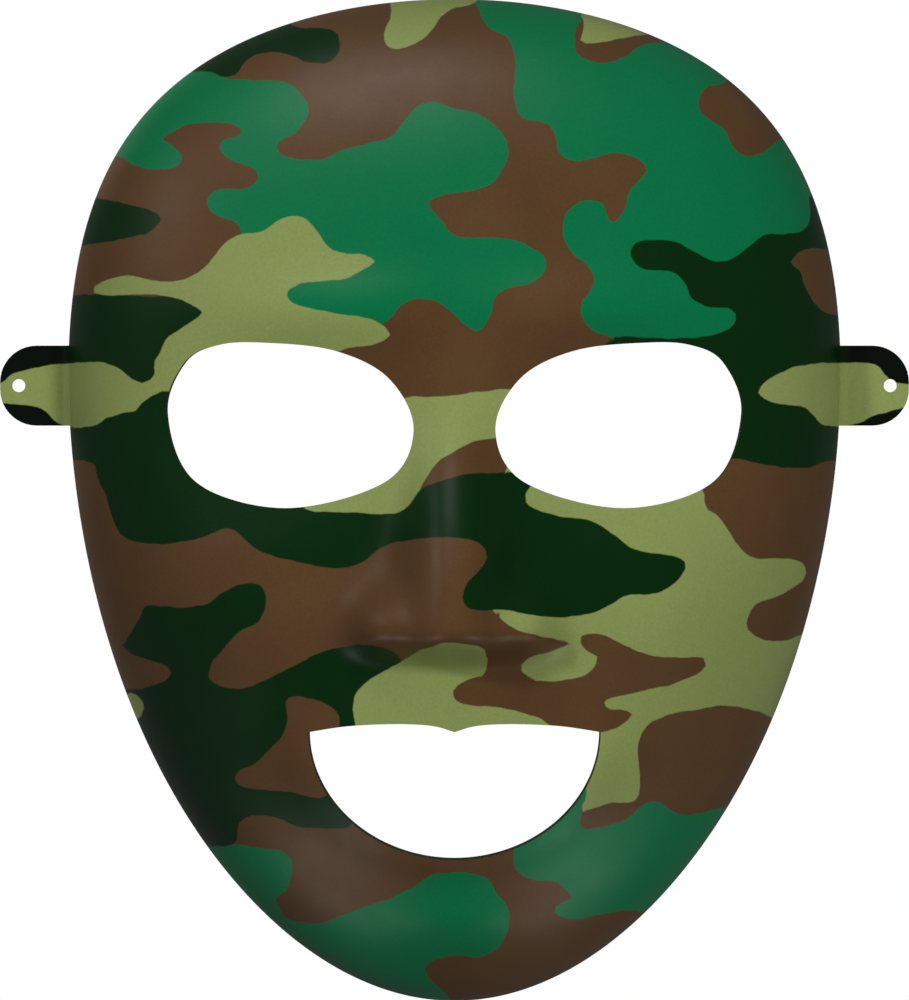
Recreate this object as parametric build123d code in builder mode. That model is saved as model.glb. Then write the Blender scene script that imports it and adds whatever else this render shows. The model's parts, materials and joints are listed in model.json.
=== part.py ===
from build123d import *

import math
import os

# Thermoformed plastic face mask with a bonded camouflage film and a strap tab on each side.
# +Z is up to the crown, the face looks along -Y, and left and right are the wearer's, so left
# is +X. The origin is midway between the two strap holes, in the plane of the mask's rim.
# All lengths are in millimetres.

# Outline of the rim
HEIGHT = 230.0
CROWN_Z = 88.7
HALF_WIDTH = (86.5, 16.3, 12.8, 9.6, 1.4)   # polynomial in v, which runs from -1 at the chin to 1

# Sheet and film
SHEET = 0.8
FILM = 0.2

# Dome: depth at its middle, how square its shoulder is, and how far its wall flares at the rim
DOME_DEPTH = 43.0
SHOULDER = 2.6
WALL_FLARE = 0.09
WALL_SLOPE = DOME_DEPTH * math.sqrt(2.5 * SHOULDER)
MIDDLE_Z = CROWN_Z - HEIGHT / 2

# Grid of points that each moulded surface passes through
COLUMNS = 50
ROWS = 60
FIT_TOLERANCE = 0.05
CORNER_PULL = 0.3      # how far the grid's corners are drawn in
OVERRUN = 1.10         # the grid runs past the rim by a tenth, and is trimmed at the rim plane
FORM_DEPTH = 90.0      # how far a form reaches behind its surface, well past the rim plane
CUTTER_DEPTH = 120.0   # how far a form that is taken away reaches

# Strap tabs
TAB_HEIGHT = 18.4
TAB_TIP_X = 104.5
TAB_TIP_RADIUS = 8.4
HOLE_X = 100.2
HOLE_RADIUS = 1.5
CREASE_X = 89.4        # axis of the living hinge at the tab's root

# Right eye opening, through its top, sides and bottom; the left one is its mirror image
EYE = [
    (-43.6, 9.5), (-53.8, 8.9), (-61.4, 5.0), (-65.6, -6.5), (-59.2, -22.0), (-38.5, -28.2),
    (-15.6, -22.2), (-9.2, -10.4), (-15.0, 1.4), (-27.4, 7.7),
]

# Mouth opening: an arched upper edge with a dip in its middle, and a half ellipse below
MOUTH_HALF_WIDTH = 33.1
MOUTH_CORNER_Z = -79.0
MOUTH_DEPTH = 29.0
LIP_ARCH = (13.0, -77.2)
LIP_DIP = (0.0, -78.9)

# Relief of the face: height above the dome, centre and reach across and up
BROW = (3.0, 27.0, 17.0, 24.0, 8.0)
SOCKET = (-6.0, 37.7, -9.0, 25.0, 17.0)
CHEEK = (4.5, 47.0, -52.0, 20.0, 20.0)
NOSE_WING = (8.5, 17.5, -55.5, 7.0, 9.0)
MUZZLE = (6.5, 0.0, -88.0, 34.0, 23.0)
CHIN = (4.5, 0.0, -125.0, 17.0, 9.0)
LIP_HEIGHT = 2.2
LIP_REACH = 0.20
NOSE_HEIGHT = 19.0
NOSE_TOP_Z = 6.0
NOSE_TIP_Z = -56.5
NOSE_BASE_Z = -66.0
NOSE_HALF_WIDTH = (8.0, 13.0)    # at the bridge and at the tip
NOSE_SQUARENESS = 2.5


def ramp(value, start, end):
    """Smooth step from 0 at start to 1 at end."""
    t = min(max((value - start) / (end - start), 0.0), 1.0)
    return t * t * (3 - 2 * t)


def bump(x, z, height, across, up, reach_x, reach_z):
    """Rounded rise on each side of the middle, or one rise where across is 0."""
    return height * math.exp(-(((abs(x) - across) / reach_x) ** 2) - ((z - up) / reach_z) ** 2)


def nose(x, z):
    """Ridge that grows from the bridge to the tip and falls away sharply under it."""
    down = ramp(z, NOSE_TOP_Z, NOSE_TIP_Z)
    under = ramp(z, NOSE_BASE_Z, NOSE_TIP_Z)
    bridge, tip = NOSE_HALF_WIDTH
    width = bridge + (tip - bridge) * down
    ridge = NOSE_HEIGHT * down * under * math.exp(-((abs(x) / width) ** NOSE_SQUARENESS))
    return ridge + under * bump(x, z, *NOSE_WING)


def lip(x, z):
    """Soft roll round the lower edge of the mouth opening."""
    around = math.hypot(x / MOUTH_HALF_WIDTH, (z - MOUTH_CORNER_Z) / MOUTH_DEPTH)
    low = ramp(z, MOUTH_CORNER_Z + 6, MOUTH_CORNER_Z - 12)
    return LIP_HEIGHT * low * math.exp(-(((around - 1) / LIP_REACH) ** 2))


def relief(x, z):
    """Height of the features above the plain dome."""
    features = (BROW, SOCKET, CHEEK, MUZZLE, CHIN)
    return sum(bump(x, z, *feature) for feature in features) + nose(x, z) + lip(x, z)


def rim_half_width(v):
    """Half width of the outline at height v, before its round ends are taken off."""
    return sum(term * v**power for power, term in enumerate(HALF_WIDTH))


def moulded_point(a, b):
    """Point of the sheet's outer face at a across and b up, each from -1 to 1 and a bit past."""
    u = OVERRUN * a * math.sqrt(1 - CORNER_PULL * b * b)
    v = OVERRUN * b * math.sqrt(1 - CORNER_PULL * a * a)
    reach = math.hypot(u, v)
    if reach < 1:
        shoulder = (5 * reach - reach**5) / 4
        height = DOME_DEPTH * math.sqrt(1 - shoulder**SHOULDER)
    else:
        shoulder = 1.0
        height = (1 - reach) * WALL_SLOPE
    radius = (1 - WALL_FLARE) * shoulder + WALL_FLARE * reach
    scale = radius / reach if reach > 0 else 1.0
    u, v = u * scale, v * scale
    x = u * rim_half_width(v)
    z = MIDDLE_Z + v * HEIGHT / 2
    return Vector(x, -height - relief(x, z) * (1 - shoulder**6), z)


def offset_point(a, b, distance):
    """Point at a distance outside the sheet's outer face."""
    step = 1e-4
    across = moulded_point(a + step, b) - moulded_point(a - step, b)
    up = moulded_point(a, b + step) - moulded_point(a, b - step)
    outward = across.cross(up).normalized()
    return moulded_point(a, b) + outward * distance


def moulded_surface(distance):
    """Surface through a grid of points, at a distance outside the sheet's outer face."""
    grid = [
        [offset_point(2 * i / COLUMNS - 1, 2 * j / ROWS - 1, distance) for j in range(ROWS + 1)]
        for i in range(COLUMNS + 1)
    ]
    return Face.make_surface_from_array_of_points(grid, tol=FIT_TOLERANCE, min_deg=3)


def tab_outline(side):
    """Outline of a strap tab with its punched hole, on the current sketch."""
    with Locations((side * (CREASE_X + TAB_TIP_X) / 2, 0)):
        Rectangle(TAB_TIP_X - CREASE_X, TAB_HEIGHT)
    tip_corners = vertices().sort_by(Axis.X)[-2:] if side > 0 else vertices().sort_by(Axis.X)[:2]
    fillet(tip_corners, TAB_TIP_RADIUS)
    with Locations((side * HOLE_X, 0)):
        Circle(HOLE_RADIUS, mode=Mode.SUBTRACT)


inner_surface = moulded_surface(-SHEET)
outer_surface = moulded_surface(0)
film_surface = moulded_surface(FILM)
backward = (0, 1, 0)

# Solid forms behind the inner and the outer face of the sheet
with BuildPart() as inner_form:
    extrude(inner_surface, amount=CUTTER_DEPTH, dir=backward)
with BuildPart() as outer_form:
    extrude(outer_surface, amount=CUTTER_DEPTH, dir=backward)

# Openings for the eyes and mouth, as one solid cutter
with BuildPart() as openings:
    with BuildSketch(Plane.XZ):
        with BuildLine():
            Spline(*EYE, periodic=True)
        make_face()
        mirror(about=Plane.YZ)
        with BuildLine():
            corner_left = (-MOUTH_HALF_WIDTH, MOUTH_CORNER_Z)
            corner_right = (MOUTH_HALF_WIDTH, MOUTH_CORNER_Z)
            arch_left = (-LIP_ARCH[0], LIP_ARCH[1])
            Spline(corner_left, arch_left, LIP_DIP, LIP_ARCH, corner_right)
            EllipticalCenterArc(
                (0, MOUTH_CORNER_Z), MOUTH_HALF_WIDTH, MOUTH_DEPTH, start_angle=180, arc_size=180
            )
        make_face()
    extrude(amount=2 * DOME_DEPTH)

# Face shell: the carrier sheet, open at the back
with BuildPart() as face_shell:
    extrude(outer_surface, amount=FORM_DEPTH, dir=backward)
    split(bisect_by=Plane.XZ, keep=Keep.TOP)
    add(inner_form.part, mode=Mode.SUBTRACT)
    add(openings.part, mode=Mode.SUBTRACT)

# Face film: the camouflage film bonded to the outside of the shell
with BuildPart() as face_film:
    extrude(film_surface, amount=FORM_DEPTH, dir=backward)
    split(bisect_by=Plane.XZ, keep=Keep.TOP)
    add(outer_form.part, mode=Mode.SUBTRACT)
    add(openings.part, mode=Mode.SUBTRACT)

os.makedirs("parts", exist_ok=True)
face_shell.part.label = "face_shell"
export_step(face_shell.part, "parts/face_shell.step")
face_film.part.label = "face_film"
export_step(face_film.part, "parts/face_film.step")

# Strap tabs: a flat flap on each side, its root rounded about the crease so that it can fold
for side, name in ((1, "left"), (-1, "right")):
    with BuildPart() as tab:
        with BuildSketch(Plane.XZ):
            tab_outline(side)
        extrude(amount=SHEET)
        with BuildSketch(Plane.XY.offset(-TAB_HEIGHT / 2)):
            with Locations((side * CREASE_X, -SHEET / 2)):
                Circle(SHEET / 2)
        extrude(amount=TAB_HEIGHT)
    with BuildPart() as tab_film:
        with BuildSketch(Plane.XZ.offset(SHEET)):
            tab_outline(side)
        extrude(amount=FILM)
    tab.part.label = f"{name}_tab"
    export_step(tab.part, f"parts/{name}_tab.step")
    tab_film.part.label = f"{name}_tab_film"
    export_step(tab_film.part, f"parts/{name}_tab_film.step")
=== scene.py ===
import json
import math

import bpy
import numpy as np
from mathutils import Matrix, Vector
from mathutils.geometry import delaunay_2d_cdt


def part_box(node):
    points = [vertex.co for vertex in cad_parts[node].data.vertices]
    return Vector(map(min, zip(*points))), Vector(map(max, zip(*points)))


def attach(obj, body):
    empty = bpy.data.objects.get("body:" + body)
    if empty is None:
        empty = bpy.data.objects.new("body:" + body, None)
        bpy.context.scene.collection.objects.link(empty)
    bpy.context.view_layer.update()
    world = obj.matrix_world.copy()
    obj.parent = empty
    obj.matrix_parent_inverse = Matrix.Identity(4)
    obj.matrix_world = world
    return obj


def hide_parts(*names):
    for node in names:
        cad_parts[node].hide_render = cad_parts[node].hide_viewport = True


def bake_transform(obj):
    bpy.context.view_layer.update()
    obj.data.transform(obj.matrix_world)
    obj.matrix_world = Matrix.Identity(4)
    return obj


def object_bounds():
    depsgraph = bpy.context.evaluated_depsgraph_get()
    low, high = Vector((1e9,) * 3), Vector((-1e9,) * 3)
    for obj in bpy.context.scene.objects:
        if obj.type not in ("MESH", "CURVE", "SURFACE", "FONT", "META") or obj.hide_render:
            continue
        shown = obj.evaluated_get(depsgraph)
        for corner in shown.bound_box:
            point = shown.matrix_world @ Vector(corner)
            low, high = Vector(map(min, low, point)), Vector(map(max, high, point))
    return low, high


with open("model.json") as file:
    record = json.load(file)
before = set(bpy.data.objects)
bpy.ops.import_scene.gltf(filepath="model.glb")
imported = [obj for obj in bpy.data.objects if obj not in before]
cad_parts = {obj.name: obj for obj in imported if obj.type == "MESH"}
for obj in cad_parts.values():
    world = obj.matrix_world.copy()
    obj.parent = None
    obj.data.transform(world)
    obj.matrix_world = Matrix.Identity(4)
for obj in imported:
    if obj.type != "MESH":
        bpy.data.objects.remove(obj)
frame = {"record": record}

CAD_BOX = [list(corner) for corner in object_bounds()]

# Lengths are in metres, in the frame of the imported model: +Z to the crown, the face along -Y.
# Pattern outlines are in millimetres across (x) and up (z), as seen from the front.
MM = 0.001

# ---------------------------------------------------------------------------------------------
# Sizes read from the frame
# ---------------------------------------------------------------------------------------------

shell_low, shell_high = (Vector(corner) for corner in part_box("face_shell"))
tab_low, tab_high = (Vector(corner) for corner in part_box("left_tab"))
tab_film_low, tab_film_high = (Vector(corner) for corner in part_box("left_tab_film"))

HEIGHT = shell_high.z - shell_low.z
MIDDLE_Z = (shell_high.z + shell_low.z) / 2
SHEET = tab_high.y - tab_low.y
FILM = tab_film_high.y - tab_film_low.y
mounts = {mount["name"]: mount for mount in frame["record"]["mounts"]}
HOLE = Vector(mounts["left_strap_hole"]["pos_m"])
HOLE_RADIUS = mounts["left_strap_hole"]["dims"]["r_mm"] * MM

# ---------------------------------------------------------------------------------------------
# The moulded form
# ---------------------------------------------------------------------------------------------

HALF_WIDTH = (86.5, 16.3, 12.8, 9.6, 1.4)   # mm, polynomial in height from -1 to 1
DOME_DEPTH = 43.0      # mm, at its middle
SHOULDER = 2.6         # how square the dome's shoulder is
WALL_FLARE = 0.09      # how far the wall flares at the rim
WALL_SLOPE = DOME_DEPTH * math.sqrt(2.5 * SHOULDER)

# Relief, in mm: height, centre across and up, reach across and up
BROW = (3.0, 27.0, 17.0, 24.0, 8.0)
SOCKET = (-6.0, 37.7, -9.0, 25.0, 17.0)
CHEEK = (4.5, 47.0, -52.0, 20.0, 20.0)
NOSE_WING = (8.5, 17.5, -55.5, 7.0, 9.0)
MUZZLE = (6.5, 0.0, -88.0, 34.0, 23.0)
CHIN = (4.5, 0.0, -125.0, 17.0, 9.0)
LIP_HEIGHT = 2.2
LIP_REACH = 0.20
NOSE_HEIGHT = 19.0
NOSE_TOP_Z = 6.0
NOSE_TIP_Z = -56.5
NOSE_BASE_Z = -66.0
NOSE_HALF_WIDTH = (8.0, 13.0)     # at the bridge and at the tip
NOSE_SQUARENESS = 2.5

# Mouth: half an ellipse below its corners, and half of the upper edge, to its dip in the middle
MOUTH_HALF_WIDTH = 33.1
MOUTH_CORNER_Z = -79.0
MOUTH_DEPTH = 29.0
UPPER_LIP = [(-33.1, -79.0), (-24.0, -77.6), (-13.0, -77.1), (-5.0, -77.5), (0.0, -78.9)]

# Right eye opening, through its top, sides and bottom; the left one is its mirror image
EYE = [
    (-43.6, 9.5), (-53.8, 8.9), (-61.4, 5.0), (-65.6, -6.5), (-59.2, -22.0), (-38.5, -28.2),
    (-15.6, -22.2), (-9.2, -10.4), (-15.0, 1.4), (-27.4, 7.7),
]


def ramp(value, start, end):
    """Smooth step from 0 at start to 1 at end."""
    t = np.clip((value - start) / (end - start), 0, 1)
    return t * t * (3 - 2 * t)


def bump(x, z, height, across, up, reach_x, reach_z):
    """Rounded rise on each side of the middle, or one rise where across is 0."""
    return height * np.exp(-(((np.abs(x) - across) / reach_x) ** 2) - ((z - up) / reach_z) ** 2)


def relief(x, z):
    """Height of the features above the plain dome, in mm."""
    down = ramp(z, NOSE_TOP_Z, NOSE_TIP_Z)
    under = ramp(z, NOSE_BASE_Z, NOSE_TIP_Z)
    width = NOSE_HALF_WIDTH[0] + (NOSE_HALF_WIDTH[1] - NOSE_HALF_WIDTH[0]) * down
    ridge = NOSE_HEIGHT * down * under * np.exp(-((np.abs(x) / width) ** NOSE_SQUARENESS))
    wings = under * bump(x, z, *NOSE_WING)
    around = np.hypot(x / MOUTH_HALF_WIDTH, (z - MOUTH_CORNER_Z) / MOUTH_DEPTH)
    low = ramp(z, MOUTH_CORNER_Z + 6, MOUTH_CORNER_Z - 12)
    lip = LIP_HEIGHT * low * np.exp(-(((around - 1) / LIP_REACH) ** 2))
    features = sum(bump(x, z, *feature) for feature in (BROW, SOCKET, CHEEK, MUZZLE, CHIN))
    return features + ridge + wings + lip


def rim_half_width(v):
    """Half width of the outline at height v, in mm, before its round ends are taken off."""
    return sum(term * v**power for power, term in enumerate(HALF_WIDTH))


def shoulder_of(reach):
    """Radius of the dome at a reach from its middle, before the wall's flare."""
    return np.where(reach < 1, (5 * reach - reach**5) / 4, 1.0)


def moulded(u, v):
    """Outer face of the sheet, in mm, at disc coordinates whose radius is 1 on the rim."""
    reach = np.maximum(np.hypot(u, v), 1e-9)
    shoulder = shoulder_of(reach)
    dome = DOME_DEPTH * np.sqrt(np.clip(1 - shoulder**SHOULDER, 0, 1))
    height = np.where(reach < 1, dome, (1 - reach) * WALL_SLOPE)
    radius = (1 - WALL_FLARE) * shoulder + WALL_FLARE * reach
    across, up = u * radius / reach, v * radius / reach
    x = across * rim_half_width(up)
    z = MIDDLE_Z / MM + up * HEIGHT / MM / 2
    return np.stack([x, -height - relief(x, z) * (1 - shoulder**6), z], axis=-1)


def offset_from_sheet(u, v, distance):
    """Points at a distance outside the sheet's outer face, in mm."""
    step = 1e-4
    across = moulded(u + step, v) - moulded(u - step, v)
    up = moulded(u, v + step) - moulded(u, v - step)
    outward = np.cross(across, up)
    outward /= np.linalg.norm(outward, axis=-1, keepdims=True)
    return moulded(u, v) + outward * distance


def to_disc(points):
    """Disc coordinates of outline points given across and up, in mm."""
    points = np.asarray(points, float)
    up = (points[:, 1] - MIDDLE_Z / MM) / (HEIGHT / MM / 2)
    across = points[:, 0] / rim_half_width(up)
    radius = np.hypot(across, up)
    steps = np.linspace(0, 1, 4001)
    table = (1 - WALL_FLARE) * shoulder_of(steps) + WALL_FLARE * steps
    reach = np.interp(radius, table, steps)
    scale = reach / np.maximum(radius, 1e-9)
    return np.stack([across * scale, up * scale], axis=-1)


# ---------------------------------------------------------------------------------------------
# Outlines
# ---------------------------------------------------------------------------------------------

EDGE_MARGIN = 0.55        # grid points stay this many spacings inside each edge
MERGE_DISTANCE = 1e-7


def rounded(points, divisions, closed=True):
    """Smooth curve through the points, as a Catmull-Rom spline."""
    points = np.asarray(points, float)
    count = len(points)
    t = np.linspace(0, 1, divisions, endpoint=False)[:, None]
    spans = []
    for i in range(count if closed else count - 1):
        near = [i - 1, i, i + 1, i + 2]
        near = [n % count for n in near] if closed else [min(max(n, 0), count - 1) for n in near]
        a, b, c, d = points[near]
        spans.append(
            b + t * (c - a) / 2 + t**2 * (a - 2.5 * b + 2 * c - d / 2)
            + t**3 * (1.5 * b - 1.5 * c + (d - a) / 2)
        )
    if not closed:
        spans.append(points[-1:])
    return np.concatenate(spans)


def mirrored(outline):
    """The outline on the other side of the middle, turning the same way."""
    return outline[::-1] * np.array([-1.0, 1.0])


def mouth_outline():
    """The mouth opening: its upper edge, then the half ellipse below."""
    left = rounded(UPPER_LIP, 8, closed=False)
    top = np.concatenate([left, mirrored(left)[1:]])
    angle = np.linspace(0, -math.pi, 90)[1:-1]
    x = MOUTH_HALF_WIDTH * np.cos(angle)
    z = MOUTH_CORNER_Z + MOUTH_DEPTH * np.sin(angle)
    return np.concatenate([top, np.stack([x, z], axis=-1)])


def ring(centre, radius, count):
    """Points evenly round a circle."""
    angle = np.linspace(0, 2 * math.pi, count, endpoint=False)
    return np.stack([centre[0] + radius * np.cos(angle), centre[1] + radius * np.sin(angle)], axis=-1)


def inside(points, outline):
    """Even-odd test of points against a closed outline."""
    x, z = points[:, 0], points[:, 1]
    found = np.zeros(len(points), bool)
    for (ax, az), (bx, bz) in zip(outline, np.roll(outline, -1, axis=0)):
        if az == bz:
            continue
        crosses = (az > z) != (bz > z)
        found ^= crosses & (x < ax + (z - az) * (bx - ax) / (bz - az))
    return found


def signed_distance(points, outline):
    """Distance to a closed outline, positive inside it."""
    start, end = outline, np.roll(outline, -1, axis=0)
    along = end - start
    length = np.maximum((along**2).sum(axis=1), 1e-12)
    nearest = np.full(len(points), np.inf)
    for a, d, squared in zip(start, along, length):
        t = np.clip(((points - a) @ d) / squared, 0, 1)
        nearest = np.minimum(nearest, ((points - a - t[:, None] * d) ** 2).sum(axis=1))
    return np.sqrt(nearest) * np.where(inside(points, outline), 1, -1)


def triangulate(outer, holes, spacing):
    """Even triangles inside an outline, clear of its holes: flat points and corner indices."""
    low, high = outer.min(axis=0), outer.max(axis=0)
    rows = []
    for row, z in enumerate(np.arange(low[1], high[1], spacing * math.sqrt(3) / 2)):
        x = np.arange(low[0] + (row % 2) * spacing / 2, high[0], spacing)
        rows.append(np.stack([x, np.full(len(x), z)], axis=-1))
    grid = np.concatenate(rows)
    margin = spacing * EDGE_MARGIN
    keep = signed_distance(grid, outer) > margin
    for hole in holes:
        keep &= signed_distance(grid, hole) < -margin
    points, edges = [], []
    for loop in (outer, *holes):
        first = len(points)
        points += [Vector(point) for point in loop]
        edges += [(first + i, first + (i + 1) % len(loop)) for i in range(len(loop))]
    points += [Vector(point) for point in grid[keep]]
    flat, _, faces, *_ = delaunay_2d_cdt(points, edges, [], 0, MERGE_DISTANCE)
    flat = np.array(flat)
    faces = np.array(faces)
    centres = flat[faces].mean(axis=1)
    good = inside(centres, outer)
    for hole in holes:
        good &= ~inside(centres, hole)
    return flat, faces[good]


# ---------------------------------------------------------------------------------------------
# The printed pattern
# ---------------------------------------------------------------------------------------------

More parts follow.
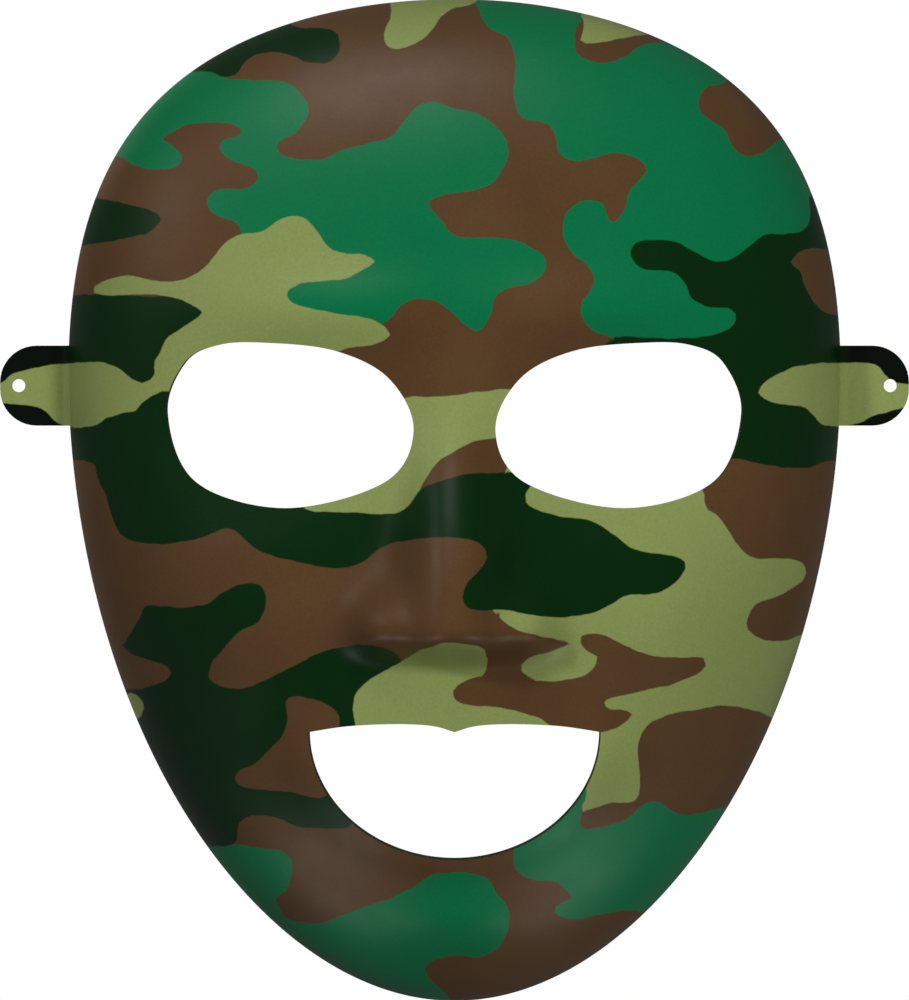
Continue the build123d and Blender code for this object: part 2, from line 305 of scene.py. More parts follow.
# Patches of the print in the order they are laid on the brown ground, as colour and outline
PATTERN = [
    ("olive", [
        (8, -48), (30, -40), (18, -32), (11, -24), (16, -17), (50, -18), (56.5, -24), (57, -28),
        (60, -30), (62.5, -33.5), (65.5, -37.8), (69, -39.6), (76, -39.7), (80, -41), (80, -44.3),
        (74.5, -48), (69.5, -49.7), (67, -52.5), (66.7, -55.5), (70, -58), (75, -58.6), (84, -57.5),
        (86, -70), (78, -80), (73, -76.5), (69, -74.5), (62, -73.2), (55, -74), (48, -75.3),
        (43.3, -78.2), (41.7, -82.5), (42, -87.5), (42.3, -91.5), (41, -94.8), (36, -95.2), (31, -96.5),
        (29, -97), (29, -92), (27, -84), (33, -78), (30, -77.5), (26, -72), (18, -67), (15, -64.5),
        (17, -62), (22, -60.5), (26, -58.5), (19, -57), (13, -55), (9.5, -52),
    ]),
    ("green", [
        (-57, 72.5), (-52, 70), (-46, 69.5), (-39, 69), (-35, 66), (-33.5, 62.3), (-36, 58),
        (-40.2, 55.5), (-40.5, 53), (-37, 51.2), (-30, 51), (-25, 53.2), (-19, 54.8), (-14.5, 56),
        (-11.5, 59.5), (-8.5, 63), (-5, 64.2), (0, 62.5), (5, 61.5), (9.5, 58.5), (12, 54),
        (11, 49.5), (8.5, 46), (4.5, 44.4), (-2, 43.4), (-5.7, 42), (-5.7, 39.8), (-3, 37), (-1, 34),
        (3, 33), (10, 33),
        (16, 31.5), (20, 29), (20.5, 26), (17, 23), (12, 22), (9, 20), (8, 16), (5.5, 12.3),
        (2.5, 13.8), (0, 16), (-4, 19), (-9, 19.5), (-13, 17.5), (-16, 14), (-26, 12), (-45, 15),
        (-48, 30), (-49, 36.5), (-54.7, 39), (-56.2, 41.8), (-54, 44.2), (-48, 44.3), (-44.5, 46.3),
        (-45.3, 49), (-50, 51), (-53, 53), (-53, 55.5), (-49, 56.5), (-48.5, 58.5), (-52, 60),
        (-60, 60), (-65, 58), (-67, 56), (-64, 54), (-62.5, 52), (-64, 50), (-68, 49.5), (-73, 50.5),
        (-78, 53), (-95, 54), (-80, 80),
    ]),
    ("green", [
        (6, 86), (8, 82), (12, 80), (13.5, 77), (14.2, 72), (13.7, 66), (15.3, 61), (20, 60),
        (22.5, 58.5), (23.5, 55), (24.3, 52.4), (28, 51), (32, 52), (37, 53), (42, 51.6), (44, 49),
        (42.5, 46.5),
        (40, 44), (39, 40), (36.5, 36.5), (34.5, 38), (33.5, 41), (30, 41.5), (26.5, 40), (25, 37),
        (25, 33), (27, 30), (30, 27.5), (32, 24), (31, 21), (29, 18.5), (29, 15.5), (31, 13),
        (34, 11.5), (46, 9), (100, 9), (100, 60), (50, 92), (5, 95),
    ]),
    ("green", [
        (-62, -104.5), (-55, -105.5), (-49, -105.5), (-45, -106), (-40, -106.5), (-37.5, -108.5),
        (-37.5, -112), (-38.5, -115), (-41, -117.5), (-40, -120), (-38.5, -122.5), (-31, -123.5),
        (-26, -121.5), (-21, -119.5), (-15, -117.5), (-10, -115), (-7, -113), (-4, -111.5),
        (2, -111.2), (7, -112.5), (9.5, -116), (12, -119.5), (12, -124), (10, -128), (6, -130.5),
        (1, -130), (-4, -131), (-7, -133.5), (-5, -137), (-2, -140), (0, -146), (-25, -146),
        (-60, -130), (-70, -110),
    ]),
    ("green", [
        (14, -104), (14, -110), (18, -112.5), (23, -113), (26, -115.5), (27.5, -117.3),
        (24.5, -118.3), (23, -120.3), (27, -121.8), (33, -121), (40, -120), (50, -120), (75, -100),
        (72, -94), (65, -96.5), (60, -97.5), (54, -98.5), (50, -97.8), (46.5, -95.5), (43, -96),
        (39, -99.5), (33, -101), (28.5, -101), (28.5, -97), (30, -93), (27, -88), (15, -95),
    ]),
    ("dark", [
        (-95, 20.5), (-82, 20.5), (-72, 20), (-64, 19.5), (-58, 17.5), (-56.5, 15.8), (-60, 13),
        (-64, 10.3), (-67, 7), (-67.5, 3), (-66, 0), (-66, -14), (-80, -17.8), (-88, -16.8),
        (-120, -16), (-120, 20),
    ]),
    ("dark", [
        (-95, 43), (-84, 43), (-80, 42.3), (-74, 41), (-69, 39.3), (-67.3, 37.6), (-70, 35),
        (-75, 33.8), (-82, 32.8), (-95, 32.5),
    ]),
    ("dark", [
        (-70, 72), (-58, 72.5), (-53, 70.8), (-50, 71.5), (-48, 74.5), (-44, 76.5), (-38, 76),
        (-34, 74.2), (-29.5, 73.8), (-26.8, 76), (-26.8, 80), (-30, 81.5), (-36, 81.8), (-39, 84),
        (-45, 88), (-65, 82),
    ]),
    ("dark", [
        (40.3, 30.3), (41.5, 32), (45, 32.6), (50, 32.2), (55, 29.8), (59, 28), (63, 28.2),
        (67, 31), (71, 34), (76, 34.3), (80, 35.3), (82, 39), (82.5, 44), (95, 46), (120, 20),
        (120, -14), (95, -17), (86, -17), (80, -18.8), (72, -18.2), (66, -16.8), (58, -14),
        (40, 6), (33, 9.3), (36, 10.6), (46, 10.2), (57, 10.6), (62.7, 12.6), (64.5, 15.4),
        (62.5, 17.6), (57.5, 17.9), (54, 20), (52.6, 23.4), (49.5, 25.8), (44, 26.3), (41, 27.8),
    ]),
    ("dark", [
        (-83, -8), (-82, -16), (-81.5, -21), (-79.5, -25), (-78, -30), (-75.5, -34.5), (-69, -36),
        (-61, -35.5), (-56, -34), (-52, -32.5), (-49, -33.5), (-46, -36.5), (-42, -38.5),
        (-36, -40), (-28, -41.5), (-21.5, -40.5), (-17, -37), (-12, -35.3), (-3, -34.5), (4, -35),
        (7.5, -38), (6.5, -41.5), (3.5, -44.5), (2, -48), (4, -50.7), (11, -51), (20, -52.6),
        (29, -52.5), (34.5, -50.5), (39, -48), (46, -47.5), (50.5, -44.5), (52.5, -41), (50, -39),
        (41, -37.6), (36, -34), (31, -31), (24, -30), (17.5, -28), (16, -25.5), (18, -20),
        (9, -20.5), (3, -20.7), (-4, -22.5), (-8, -24.5), (-11, -28.5), (-20, -29.2), (-32, -28.4),
        (-40, -20), (-62, -12), (-62, -2), (-66, -2.5), (-70, -4), (-76, -6),
    ]),
    ("dark", [
        (-74, -57), (-71.5, -53), (-70, -50.7), (-62, -51), (-56, -50), (-52.5, -47.5),
        (-48, -45.5), (-44, -46), (-43, -49.5), (-44.5, -53.5), (-49, -56), (-52, -59.2), (-55.2, -63),
        (-56.2, -66.8), (-53.5, -68.9), (-48, -69.3), (-42, -67), (-36, -64), (-30, -61), (-24, -59.6),
        (-19, -59.5), (-13, -61.5), (-12, -68), (-20, -78), (-30, -80), (-30, -90), (-24, -96),
        (-24, -100.3), (-30, -100.7), (-36, -100.5), (-40, -98.5), (-46, -98), (-49.5, -100),
        (-50.5, -104.5), (-56, -105.5), (-66, -104), (-95, -85), (-95, -70), (-82, -62),
        (-76, -59.5),
    ]),
    ("brown", [
        (77, 28), (79.5, 30.8), (84, 31.3), (95, 30), (95, 17), (86, 16.5), (83, 18.2), (80.5, 22),
        (79, 26),
    ]),
    ("brown", [
        (56.2, 66), (58, 68.5), (62, 69.5), (70, 76), (84, 60), (76, 57), (73.5, 55.5), (70, 53),
        (66.3, 52.5), (63.6, 54.5), (62, 58.3), (58.5, 60.5), (56, 63),
    ]),
    ("brown", [
        (-38, -71.3), (-33, -71.3), (-27.5, -73.5), (-26, -76.5), (-28, -82), (-27, -90),
        (-30, -94), (-36, -93), (-42, -92.4), (-47, -92), (-50, -90.5), (-49, -88), (-45, -86),
        (-42, -83), (-39, -79.5), (-38, -76),
    ]),
    ("brown", [
        (-95, -58), (-80, -58), (-74, -61.5), (-69, -63), (-65, -64.8), (-65.5, -67.2), (-70, -69),
        (-76, -69.8), (-95, -70),
    ]),
    ("brown", [
        (27.5, 78), (29, 75), (34, 73.6), (39, 75), (43, 78), (50, 80), (48, 86), (30, 84),
    ]),
    ("olive", [
        (-83, 21.8), (-80, 23.9), (-75, 25), (-70, 24), (-65, 23.4), (-60, 24.6), (-56, 27.5),
        (-53, 31.3), (-49.5, 34), (-44, 34.6), (-41, 36.8), (-38, 38.1), (-34, 37.8), (-31, 34.5),
        (-28.3, 31), (-25, 29.6), (-20.5, 29.4), (-18, 28), (-21, 26), (-25, 23.8), (-30, 23.4),
        (-35, 22.8), (-38, 21), (-37, 18.8), (-33, 17.3), (-27, 16), (-20, 15), (-15.5, 12.8),
        (-15, 10.5), (-19, 8.8), (-25, 8), (-35, 4), (-58, 0), (-63, -2), (-66, -1.3), (-69.4, -2.4),
        (-71, -1), (-71.2, 0.5), (-69.4, 1.1), (-68.3, 2.7), (-68.6, 5), (-67.3, 7.1),
        (-65.6, 10.4), (-61.5, 13.3), (-57.5, 16), (-59.5, 18), (-65, 20.2), (-72, 20.6),
        (-80, 20.6),
    ]),
    ("olive", [
        (-110, 0.2), (-104.8, 0.3), (-101.6, 2.6), (-98.2, 3.7), (-94.2, 4.5), (-88.9, 5.1),
        (-82.3, 5.3), (-79.2, 4.8), (-76.2, 3.4), (-73.6, 1.3), (-71, 0.4), (-68, -0.4),
        (-69.4, -2.6), (-71.3, -4.3), (-73, -6), (-76.2, -6.5), (-79.4, -7.6), (-82.6, -9.2),
        (-87.9, -9.6), (-91.6, -8.2), (-93.4, -6.6), (-95.5, -5), (-98.7, -4.6), (-101.3, -4.2),
        (-110, -3.2),
    ]),
    ("olive", [
        (69.3, -1.5), (71, 0.8), (76, 3.5), (82, 4.8), (87, 5.2), (96, 5.1), (99.2, 2.3),
        (101.5, 0.6), (110, 0), (110, -3), (102, -5.4), (96, -7), (93.5, -8.3), (89, -9.3),
        (85, -9.2), (83, -7.8), (81, -5.7), (79, -4.8), (74, -4.4), (70.5, -3.2),
    ]),
    ("olive", [
        (-13, -4), (-6, -3), (0, -2.5), (6, -1.8), (14, -2), (14, -12), (9, -12.3), (4.5, -13),
        (0, -15.2), (-4, -18), (-6.5, -21.5), (-8.5, -25), (-12, -28.8), (-17, -29.5), (-24, -29),
        (-34, -28.3), (-34, -22), (-17, -16),
    ]),
    ("olive", [
        (-23, -73.5), (-22.3, -70), (-18.8, -66.8), (-14, -64), (-10.5, -61.9), (-7, -60),
        (-2, -58.6), (4, -59), (7, -60.5), (7.3, -64), (5.5, -67), (2, -67.5), (-0.2, -69),
        (0, -71.3), (3, -72.7), (10, -73.3), (17, -75), (22, -77), (18, -82), (0, -84), (-20, -82),
        (-22.5, -76.2),
    ]),
    ("olive", [
        (-15.5, 77.6), (-16, 81), (-14.5, 85), (-13.5, 94), (6, 94), (4.5, 87.8), (0, 86.5),
        (-3, 84.5), (-5, 81.3), (-8, 78.6), (-12, 76.9),
    ]),
    ("olive", [
        (29, 78.6), (29.6, 82), (30, 90), (42, 90), (46, 82), (41.5, 80.3), (36, 79), (32, 78.3),
    ]),
    ("olive", [
        (-75, -70.8), (-72.2, -71.6), (-71.2, -74), (-73, -76.5), (-80, -74.5),
    ]),
    ("brown", [
        (33.5, -79), (38.5, -77), (40.5, -75), (38.5, -74), (34.5, -73.6), (34.5, -71.5), (41, -70),
        (49, -68.3), (55, -66), (57, -64.3), (56.5, -62.3), (50, -62), (45, -61.7), (39, -59.5),
        (34, -57), (30, -56.6), (28.3, -58), (30, -60.5), (32.5, -62), (31, -65), (27, -66.8),
        (20, -67.4), (14, -66.8), (8, -66), (3, -67), (0.5, -68.5), (0, -70.5), (2.5, -72.6),
        (11, -73.2), (18, -75), (24, -78.5),
    ]),
]
LAYERS = ("green", "dark", "olive")   # inks over the brown ground, the later ones on top
FIELD_REACH = 6.0      # mm: distances are kept only this near to an edge of the print
BLEED = 0.25           # mm that a lower ink runs on under the ink above it
PATTERN_DIVISIONS = 5  # steps of the curve between two corners of a patch


def pattern_fields(points):
    """Distance inside each ink, negative outside it, and distance across, in mm, at flat points."""
    fields = {name: np.full(len(points), -FIELD_REACH) for name in LAYERS}
    for colour, corners in PATTERN:
        outline = rounded(corners, PATTERN_DIVISIONS)
        low, high = outline.min(axis=0) - FIELD_REACH, outline.max(axis=0) + FIELD_REACH
        near = np.nonzero(((points >= low) & (points <= high)).all(axis=1))[0]
        within = np.clip(signed_distance(points[near], outline), -FIELD_REACH, FIELD_REACH)
        above = LAYERS[LAYERS.index(colour) + 1:] if colour in LAYERS else LAYERS
        for name in above:
            fields[name][near] = np.minimum(fields[name][near], -within)
        if colour in LAYERS:
            bleed = BLEED if above else 0
            fields[colour][near] = np.maximum(fields[colour][near], within + bleed)
    fields["across"] = np.abs(points[:, 0])
    return fields


# ---------------------------------------------------------------------------------------------
# Materials
# ---------------------------------------------------------------------------------------------


def srgb(red, green, blue):
    """Linear colour of an sRGB one given from 0 to 255."""
    def linear(value):
        value /= 255
        return value / 12.92 if value <= 0.04045 else ((value + 0.055) / 1.055) ** 2.4
    return (linear(red), linear(green), linear(blue), 1.0)


PRINT = {
    "brown": srgb(80, 56, 32),       # the ground, which drifts towards GROUND_DRIFT
    "green": srgb(2, 104, 62),
    "dark": srgb(2, 37, 7),
    "olive": srgb(127, 140, 80),
}
GROUND_DRIFT = srgb(84, 60, 36)
INK_EDGE = 0.14                # mm on each side of an edge of the print, over which it turns
EDGE_WANDER = 0.15             # mm that the edge wanders by
TAB_SHADED_DARK = srgb(2, 10, 3)      # painted shade: the dark ink is painted nearly black on the tabs, which lie in the wall's shade
TAB_SHADE_FADE = (86.0, 91.5)        # mm across, over which the painted shade fades in from the face's dark ink to the tab's


class Nodes:
    """A material's node tree, with short calls for the nodes that are used here."""

    def __init__(self, name):
        self.material = bpy.data.materials.new(name)
        self.material.use_nodes = True
        self.tree = self.material.node_tree
        self.shader = self.tree.nodes["Principled BSDF"]

    def add(self, kind, **values):
        node = self.tree.nodes.new(kind)
        for key, value in values.items():
            setattr(node, key, value)
        return node

    def link(self, source, target):
        self.tree.links.new(source, target)

    def noise(self, scale, detail=3.0, roughness=0.5):
        """Noise from 0 to 1 over the object, with a number of blobs to the metre."""
        place = self.add("ShaderNodeTexCoord")
        node = self.add("ShaderNodeTexNoise")
        node.inputs["Scale"].default_value = scale
        node.inputs["Detail"].default_value = detail
        node.inputs["Roughness"].default_value = roughness
        self.link(place.outputs["Object"], node.inputs["Vector"])
        return node.outputs["Fac"]

    def span(self, value, low, high, to_low, to_high):
        """The value's range from low to high, stretched to another one and held at its ends."""
        node = self.add("ShaderNodeMapRange")
        self.link(value, node.inputs["Value"])
        limits = {"From Min": low, "From Max": high, "To Min": to_low, "To Max": to_high}
        for socket, number in limits.items():
            node.inputs[socket].default_value = number
        return node.outputs["Result"]

    def mix(self, amount, first, second, blend="MIX"):
        """Blend of two colours, each a socket or a value."""
        node = self.add("ShaderNodeMix", data_type="RGBA", blend_type=blend)
        factor, first_colour, second_colour = (node.inputs[i] for i in (0, 6, 7))
        for socket, value in ((factor, amount), (first_colour, first), (second_colour, second)):
            if isinstance(value, bpy.types.NodeSocket):
                self.link(value, socket)
            else:
                socket.default_value = value
        return node.outputs[2]

    def bump(self, height, strength, distance, normal=None):
        """Normal for a fine relief, laid over another normal if there is one."""
        node = self.add("ShaderNodeBump")
        node.inputs["Strength"].default_value = strength
        node.inputs["Distance"].default_value = distance
        self.link(height, node.inputs["Height"])
        if normal is not None:
            self.link(normal, node.inputs["Normal"])
        return node.outputs["Normal"]


def camo_material():
    """Satin printed film: four flat colours with soft ink edges, painted shade that darkens the dark
    ink on the tabs, a fine grain and light scuffs.
    """
    nodes = Nodes("camo_print")
    wander = nodes.noise(260.0, 2.0)
    ground = nodes.span(nodes.noise(45.0), 0.35, 0.65, 0.0, 1.0)
    colour = nodes.mix(ground, PRINT["brown"], GROUND_DRIFT)
    # Painted shade: out past the wall the dark ink darkens to nearly black on the tabs.
    across = nodes.add("ShaderNodeAttribute", attribute_name="print_across")
    tab_shade = nodes.span(across.outputs["Fac"], *TAB_SHADE_FADE, 0.0, 1.0)
    dark = nodes.mix(tab_shade, PRINT["dark"], TAB_SHADED_DARK)
    inks = {**PRINT, "dark": dark}
    for layer in LAYERS:
        field = nodes.add("ShaderNodeAttribute", attribute_name=f"print_{layer}")
        edge = nodes.add("ShaderNodeMath", operation="ADD")
        nodes.link(field.outputs["Fac"], edge.inputs[0])
        nodes.link(nodes.span(wander, 0.3, 0.7, -EDGE_WANDER, EDGE_WANDER), edge.inputs[1])
        inked = nodes.span(edge.outputs[0], -INK_EDGE, INK_EDGE, 0.0, 1.0)
        colour = nodes.mix(inked, colour, inks[layer])
    speckle = nodes.span(nodes.noise(1800.0, 2.0), 0.3, 0.7, 0.94, 1.06)
    tone = nodes.span(nodes.noise(18.0, 4.0), 0.3, 0.7, 0.95, 1.05)
    shade = nodes.add("ShaderNodeMath", operation="MULTIPLY")
    nodes.link(speckle, shade.inputs[0])
    nodes.link(tone, shade.inputs[1])
    grey = nodes.add("ShaderNodeCombineColor")
    for socket in grey.inputs[:3]:
        nodes.link(shade.outputs[0], socket)
    colour = nodes.mix(1.0, colour, grey.outputs[0], "MULTIPLY")
    nodes.link(colour, nodes.shader.inputs["Base Color"])
    scuffs = nodes.span(nodes.noise(130.0, 5.0, 0.6), 0.3, 0.7, 0.36, 0.44)
    nodes.link(scuffs, nodes.shader.inputs["Roughness"])
    grain = nodes.bump(nodes.noise(1500.0, 2.0), 0.12, 0.00015)
    waves = nodes.bump(nodes.noise(38.0, 1.0), 0.05, 0.0006, grain)
    nodes.link(waves, nodes.shader.inputs["Normal"])
    nodes.shader.inputs["Specular IOR Level"].default_value = 0.25
    return nodes.material


def carrier_material():
    """Matt dark olive plastic with the pebbled grain that the sheet is rolled with."""
    nodes = Nodes("carrier_plastic")
    tone = nodes.span(nodes.noise(30.0, 4.0), 0.35, 0.65, 0.0, 1.0)
    colour = nodes.mix(tone, srgb(56, 62, 46), srgb(66, 72, 54))
    fleck = nodes.span(nodes.noise(900.0, 3.0), 0.62, 0.75, 0.0, 0.35)
    colour = nodes.mix(fleck, colour, srgb(92, 98, 80))
    nodes.link(colour, nodes.shader.inputs["Base Color"])
    wear = nodes.span(nodes.noise(220.0, 4.0), 0.3, 0.7, 0.5, 0.68)
    nodes.link(wear, nodes.shader.inputs["Roughness"])
    cells = nodes.add("ShaderNodeTexVoronoi", feature="SMOOTH_F1")
    cells.inputs["Scale"].default_value = 900.0
    place = nodes.add("ShaderNodeTexCoord")
    nodes.link(place.outputs["Object"], cells.inputs["Vector"])
    pebbles = nodes.bump(cells.outputs["Distance"], 0.35, 0.0003)
    nodes.link(pebbles, nodes.shader.inputs["Normal"])
    return nodes.material


def cut_edge_material():
    """Die-cut edge of the sheet: rougher, with the fine lines that the knife leaves."""
    nodes = Nodes("cut_edge")
    lines = nodes.span(nodes.noise(1400.0, 4.0), 0.35, 0.65, 0.0, 1.0)
    colour = nodes.mix(lines, srgb(24, 28, 20), srgb(46, 50, 38))
    nodes.link(colour, nodes.shader.inputs["Base Color"])
    tears = nodes.span(nodes.noise(500.0), 0.3, 0.7, 0.55, 0.75)
    nodes.link(tears, nodes.shader.inputs["Roughness"])
    nicks = nodes.bump(nodes.noise(2500.0), 0.2, 0.0001)
    nodes.link(nicks, nodes.shader.inputs["Normal"])
    return nodes.material


def floor_material():
    """Plain pale floor that glows a little, so that it reads as white."""
    nodes = Nodes("studio_floor")
    tone = nodes.span(nodes.noise(2.0), 0.3, 0.7, 0.0, 1.0)
    colour = nodes.mix(tone, (0.86, 0.86, 0.86, 1), (0.89, 0.89, 0.89, 1))
    nodes.link(colour, nodes.shader.inputs["Base Color"])
    nodes.shader.inputs["Roughness"].default_value = 0.9
    nodes.shader.inputs["Emission Color"].default_value = (1, 1, 1, 1)
    nodes.shader.inputs["Emission Strength"].default_value = 0.5
    return nodes.material


CAMO = camo_material()
CARRIER = carrier_material()
CUT_EDGE = cut_edge_material()

# ---------------------------------------------------------------------------------------------
# Sheet pieces
# ---------------------------------------------------------------------------------------------


def sheet_piece(name, front, back, faces, materials, prints=None):
    """Closed sheet between two sets of points, in mm, that share one set of triangles."""
    used = np.unique(faces)
    renumber = np.full(len(front), -1)
    renumber[used] = np.arange(len(used))
    faces = renumber[faces]
    front, back = front[used], back[used]
    count = len(used)
    sides = np.concatenate([faces[:, [0, 1]], faces[:, [1, 2]], faces[:, [2, 0]]])
    known = {tuple(side) for side in sides.tolist()}
    rim = [side for side in known if side[::-1] not in known]
    triangles = faces.tolist() + (faces[:, ::-1] + count).tolist()
    walls = [(b, a, a + count, b + count) for a, b in rim]
    mesh = bpy.data.meshes.new(name)
    mesh.from_pydata((np.concatenate([front, back]) * MM).tolist(), [], triangles + walls)
    for material in materials:
        mesh.materials.append(material)
    slots = [0] * len(faces) + [1] * len(faces) + [2] * len(walls)
    mesh.polygons.foreach_set("material_index", slots)
    mesh.polygons.foreach_set("use_smooth", [slot < 2 for slot in slots])
    if prints is not None:
        for field_name, field in prints.items():
            values = np.concatenate([field[used], field[used]]).astype(np.float32)
            attribute = mesh.attributes.new(f"print_{field_name}", "FLOAT", "POINT")
            attribute.data.foreach_set("value", values)
    mesh.update()
    corners = {frozenset(side) for wall in walls for side in zip(wall, wall[1:] + wall[:1])}
    for edge in mesh.edges:
        edge.use_edge_sharp = frozenset(edge.vertices) in corners
    piece = bpy.data.objects.new(name, mesh)
    bpy.context.collection.objects.link(piece)
    return piece


def front_winding(points, faces):
    """The triangles, each turned so that it looks forward, along -Y, on the whole."""
    a, b, c = (points[faces[:, i]] for i in range(3))
    across = b - a
    up = c - a
    turned = across[:, 0] * up[:, 1] - across[:, 1] * up[:, 0] < 0
    faces = faces.copy()
    faces[turned] = faces[turned][:, ::-1]
    return faces


GRID_SPACING = 0.0125     # of the disc's radius
RIM_POINTS = 520
EYE_DIVISIONS = 14        # steps of the curve between two points of the eye's outline
PRINT_SIDES = [CAMO, CARRIER, CUT_EDGE]         # front, back and cut edge of a film
SHEET_SIDES = [CARRIER, CARRIER, CUT_EDGE]      # and of a carrier sheet

eye = rounded(EYE, EYE_DIVISIONS)
mouth = mouth_outline()
openings = [to_disc(eye), to_disc(mirrored(eye)), to_disc(mouth)]
disc, disc_faces = triangulate(ring((0, 0), 1.0, RIM_POINTS), openings, GRID_SPACING)
disc_faces = front_winding(disc, disc_faces)
u, v = disc[:, 0], disc[:, 1]
on_rim = np.hypot(u, v) > 0.99999


def sheet_layer(distance):
    """Points of the mask at a distance outside the sheet's outer face, flat at the rim plane."""
    points = offset_from_sheet(u, v, distance)
    points[on_rim, 1] = 0.0
    return points


film_front, film_back, shell_back = (sheet_layer(d) for d in (FILM / MM, 0.0, -SHEET / MM))
face_prints = pattern_fields(film_front[:, [0, 2]])
film = sheet_piece("face_film_print", film_front, film_back, disc_faces, PRINT_SIDES, face_prints)
shell = sheet_piece("face_shell_sheet", film_back, shell_back, disc_faces, SHEET_SIDES)
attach(film, "mask")
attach(shell, "mask")
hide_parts("face_film")
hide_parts("face_shell")

# ---------------------------------------------------------------------------------------------
# Strap tabs
# ---------------------------------------------------------------------------------------------

TAB_HALF_HEIGHT = (tab_high.z - tab_low.z) / MM / 2
TAB_TIP = tab_high.x / MM
TAB_TIP_RADIUS = 8.4
TAB_SPACING = 0.7        # of the tab's mesh
ROOT_RADIUS = 1.6        # of the bend where the wall turns into the tab
ROOT_OVERLAP = 0.35      # how far the tab's root is sunk into the wall


def wall_x(z):
    """Outer face of the mask's wall at the rim plane, across, in mm."""
    v_up = (z - MIDDLE_Z / MM) / (HEIGHT / MM / 2)
    return rim_half_width(v_up) * np.sqrt(1 - v_up**2) + FILM / MM


def tab_outline():
    """The left tab from the wall to its round tip, in mm."""
    heights = np.linspace(-TAB_HALF_HEIGHT, TAB_HALF_HEIGHT, 27)
    root = np.stack([wall_x(heights) - ROOT_OVERLAP, heights], axis=-1)[::-1]
    turn = np.linspace(0, math.pi / 2, 12)
    corner_x = TAB_TIP - TAB_TIP_RADIUS
    corner_z = TAB_HALF_HEIGHT - TAB_TIP_RADIUS
    arc = TAB_TIP_RADIUS * np.stack([np.cos(turn), np.sin(turn)], axis=-1)
    upper = arc + np.array([corner_x, corner_z])
    lower = upper[::-1] * np.array([1.0, -1.0])
    straight = np.linspace(root[-1, 0], corner_x, 12)[1:-1]
    top = np.stack([straight[::-1], np.full(len(straight), TAB_HALF_HEIGHT)], axis=-1)
    bottom = top[::-1] * np.array([1.0, -1.0])
    return np.concatenate([root, bottom, lower, upper, top])


def root_rise(x, z):
    """How far the tab's front face stands forward of its flat part, near the wall."""
    gap = np.clip(x - wall_x(z), 0, ROOT_RADIUS)
    return ROOT_RADIUS - np.sqrt(ROOT_RADIUS**2 - (ROOT_RADIUS - gap) ** 2)


hole = ring((HOLE.x / MM, HOLE.z / MM), HOLE_RADIUS / MM, 40)
tab_points, tab_faces = triangulate(tab_outline(), [hole], TAB_SPACING)
tab_faces = front_winding(tab_points, tab_faces)

for side, name in ((1, "left"), (-1, "right")):
    x, z = tab_points[:, 0], tab_points[:, 1]
    rise = root_rise(x, z)
    front = np.stack([side * x, -(SHEET + FILM) / MM - rise, z], axis=-1)
    middle = front + np.array([0, FILM / MM, 0])
    back = np.stack([side * x, np.zeros(len(x)), z], axis=-1)
    faces = tab_faces if side > 0 else tab_faces[:, ::-1]
    prints = pattern_fields(front[:, [0, 2]])
    print_piece = sheet_piece(f"{name}_tab_print", front, middle, faces, PRINT_SIDES, prints)
    tab_piece = sheet_piece(f"{name}_tab_sheet", middle, back, faces, SHEET_SIDES)
    for piece, node, slot in (
        (print_piece, f"{name}_tab_film", "camo_film"),
        (tab_piece, f"{name}_tab", "carrier_sheet"),
    ):
        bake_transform(piece)
        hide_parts(node)

# ---------------------------------------------------------------------------------------------
# Studio
# ---------------------------------------------------------------------------------------------

FLOOR_DROP = 0.25         # below the mask, which hangs upright
FLOOR_REACH = 6.0
CAMERA_DISTANCE = 3.0
SENSOR = 36.0             # mm
AMBIENT = 0.12            # strength of the white room on the mask, which the camera sees at 1

# Name, place, size, power in watts, and whether it gives diffuse light and gloss
LIGHTS = (
    ("key", (-0.35, -0.8, 1.75), 0.9, 11, True, True),
    ("low_left", (-1.0, -0.35, -1.5), 0.6, 3.2, False, True),
    ("low_right", (1.0, -0.35, -1.5), 0.6, 3.6, False, True),
    ("nose_side", (-1.6, -0.75, 1.0), 0.7, 3.4, False, True),
    ("side", (-1.4, -1.7, 0.9), 0.25, 23, True, False),
    ("front", (1.3, -2.2, -0.25), 0.6, 39, True, False),
    ("back", (-1.0, 1.7, 0.6), 0.9, 50, True, False),
)


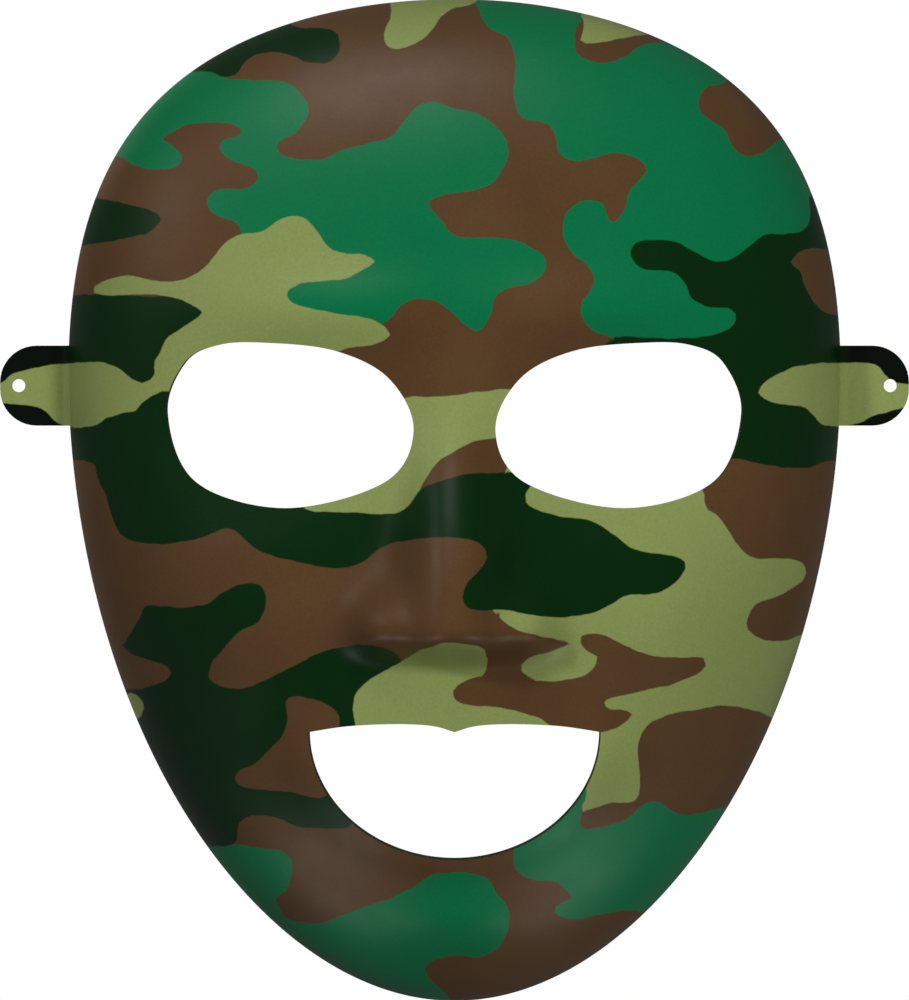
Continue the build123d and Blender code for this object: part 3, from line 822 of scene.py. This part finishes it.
def area_light(name, place, size, power, diffuse, gloss):
    """Round soft light, aimed at the middle of the mask and not seen itself."""
    light = bpy.data.lights.new(name, "AREA")
    light.shape = "DISK"
    light.size = size
    light.energy = power
    lamp = bpy.data.objects.new(name, light)
    lamp.location = place
    aim = Vector((0, 0, MIDDLE_Z)) - Vector(place)
    lamp.rotation_euler = aim.to_track_quat("-Z", "Y").to_euler()
    lamp.visible_camera = False
    lamp.visible_diffuse = diffuse
    lamp.visible_glossy = gloss
    bpy.context.collection.objects.link(lamp)


floor_mesh = bpy.data.meshes.new("studio_floor")
floor_mesh.from_pydata(
    [
        (-FLOOR_REACH, -FLOOR_REACH, 0), (FLOOR_REACH, -FLOOR_REACH, 0),
        (FLOOR_REACH, FLOOR_REACH, 0), (-FLOOR_REACH, FLOOR_REACH, 0),
    ],
    [], [(0, 1, 2, 3)],
)
floor_mesh.materials.append(floor_material())
studio_floor = bpy.data.objects.new("studio_floor", floor_mesh)
studio_floor.location.z = CAD_BOX[0][2] - FLOOR_DROP
studio_floor.visible_diffuse = False
studio_floor.visible_glossy = False
studio_floor.visible_shadow = False
bpy.context.collection.objects.link(studio_floor)

for light_settings in LIGHTS:
    area_light(*light_settings)

world = bpy.data.worlds.new("studio")
world.use_nodes = True
tree = world.node_tree
seen = tree.nodes.new("ShaderNodeLightPath")
strength = tree.nodes.new("ShaderNodeMapRange")
strength.inputs["To Min"].default_value = AMBIENT
strength.inputs["To Max"].default_value = 1.0
tree.links.new(seen.outputs["Is Camera Ray"], strength.inputs["Value"])
tree.links.new(strength.outputs["Result"], tree.nodes["Background"].inputs["Strength"])
tree.nodes["Background"].inputs["Color"].default_value = (1, 1, 1, 1)
bpy.context.scene.world = world
bpy.context.scene.view_settings.view_transform = "Standard"

camera_data = bpy.data.cameras.new("camera")
camera_data.sensor_width = SENSOR
camera_data.lens = SENSOR * CAMERA_DISTANCE / HEIGHT
camera_data.clip_end = 50
camera = bpy.data.objects.new("camera", camera_data)
camera.location = (0, -CAMERA_DISTANCE, MIDDLE_Z)
camera.rotation_euler = (math.pi / 2, 0, 0)
bpy.context.collection.objects.link(camera)
bpy.context.scene.camera = camera
